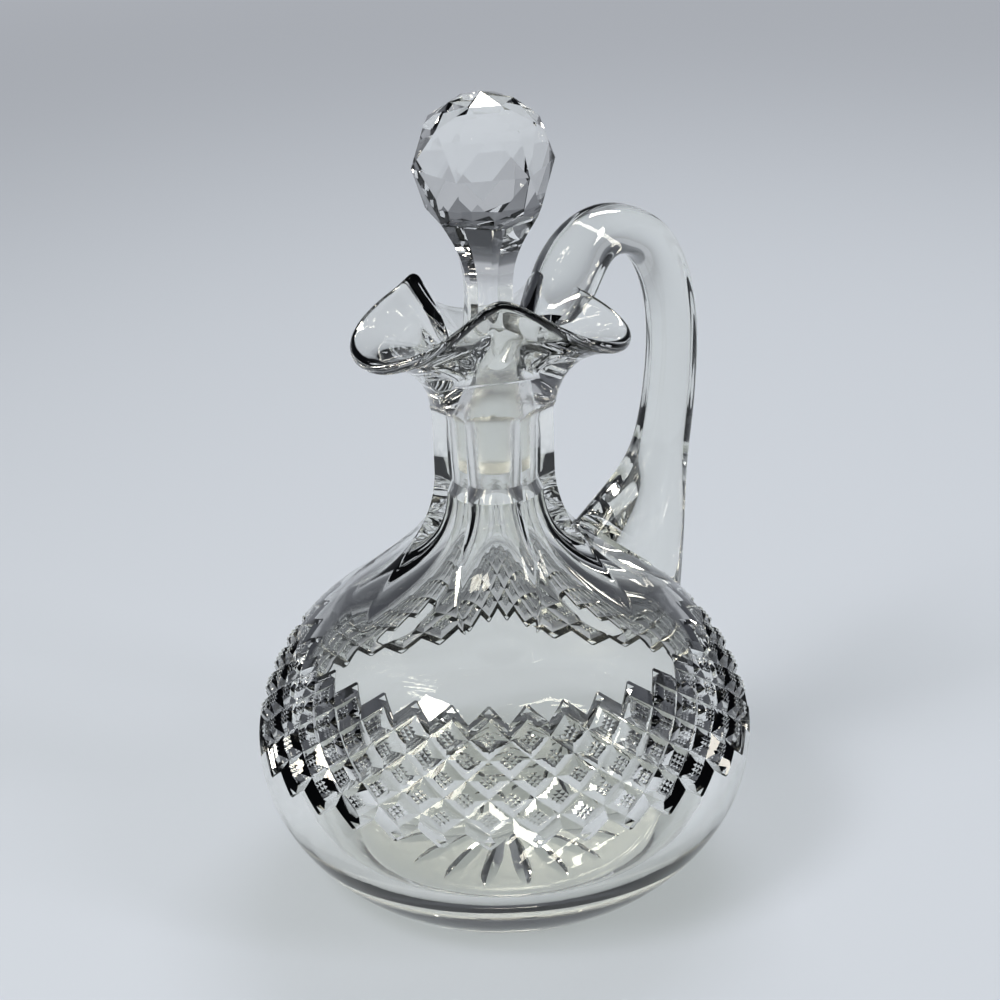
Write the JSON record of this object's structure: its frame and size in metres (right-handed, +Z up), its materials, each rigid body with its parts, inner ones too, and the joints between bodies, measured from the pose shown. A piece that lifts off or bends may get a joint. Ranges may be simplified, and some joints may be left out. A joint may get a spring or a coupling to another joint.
{
  "type": "cruet",
  "caption": "Cut-glass oil and vinegar cruet: squat round body with a diamond band, fluted neck, three-lobed lip, applied handle and a ground-in faceted ball stopper.",
  "frame": {"origin": "on the bottle's axis, at the plane of the flat base that it stands on", "axes": "+Z up along the bottle's axis, +X towards the handle, -X towards the pouring lobe of the lip, +Y to the left when looking along +X from behind the pouring lobe"},
  "size_m": [0.1008, 0.099, 0.1593],
  "materials": {
    "cut_glass": "clear lead crystal, wheel cut and polished, ground inside the neck",
    "handle_glass": "clear fire-polished crystal",
    "stopper_glass": "clear cut and polished crystal, plug ground matt"
  },
  "bodies": {
    "cruet": {"bottle": "cut_glass", "handle": "handle_glass"},
    "stopper_body": {"stopper": "stopper_glass"}
  },
  "joints": [
    {"name": "stopper_lift", "type": "slide", "parent": "cruet", "child": "stopper_body", "axis": [0, 0, 1], "range_m": [0, 0.045]}
  ]
}
